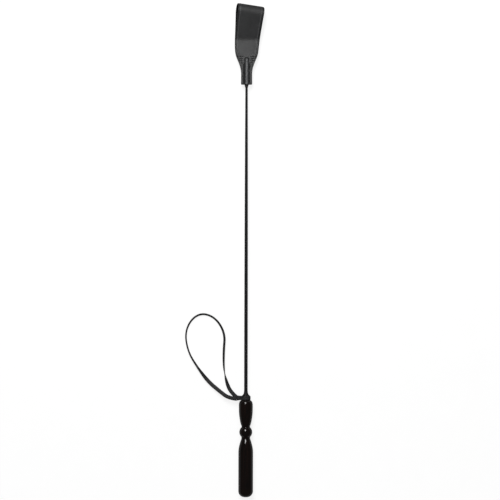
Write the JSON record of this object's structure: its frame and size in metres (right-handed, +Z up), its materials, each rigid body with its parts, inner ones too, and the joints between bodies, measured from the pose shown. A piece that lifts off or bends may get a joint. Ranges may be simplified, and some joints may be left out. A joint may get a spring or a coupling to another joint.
{
  "type": "riding crop",
  "caption": "Riding crop with a turned lacquered handle, a flat lace wrist loop, a thin braided tapered shaft and a folded leather keeper at its tip.",
  "frame": {"origin": "on the handle's axis, at the middle of its straight grip", "axes": "+Y along the crop from the butt to the keeper, +Z up from the surface that the crop lies on, +X to the right seen from above with the keeper away from the viewer"},
  "size_m": [0.1045, 0.66, 0.0196],
  "materials": {
    "handle_lacquer": "gloss",
    "rod": "satin",
    "braid": "satin",
    "winding": "satin",
    "keeper_leather": "satin",
    "strap_leather": "satin",
    "thread": "matte"
  },
  "bodies": {
    "crop": {"handle": "handle_lacquer", "shaft_core": "rod", "shaft_cover": "braid", "collar_whipping": "winding", "tip_binding": "winding", "mouth_whipping": "winding", "keeper_front_leaf": "keeper_leather", "keeper_back_leaf": "keeper_leather", "channel_stitches_left": "thread", "channel_stitches_right": "thread", "cross_stitches_left": "thread", "cross_stitches_right": "thread"},
    "strap_neck": {"strap_turn": "strap_leather", "strap_tack": "thread"},
    "strap_loop": {"wrist_loop": "strap_leather"},
    "keeper_tip": {"keeper_fold": "keeper_leather"}
  },
  "joints": [
    {"name": "strap_swivel", "type": "hinge", "parent": "crop", "child": "strap_neck", "pos_m": [0, 0.09833, 0], "axis": [0, 1, 0], "continuous": true},
    {"name": "loop_swing", "type": "hinge", "parent": "strap_neck", "child": "strap_loop", "pos_m": [-0.015, 0.09833, 0], "axis": [0, 0, 1], "range_deg": [-15, 75]},
    {"name": "keeper_flex", "type": "hinge", "parent": "crop", "child": "keeper_tip", "pos_m": [0, 0.55993, 0], "axis": [0.9962, -0.0872, 0], "range_deg": [-40, 40], "stiffness_Nm_per_rad": 0.25}
  ]
}
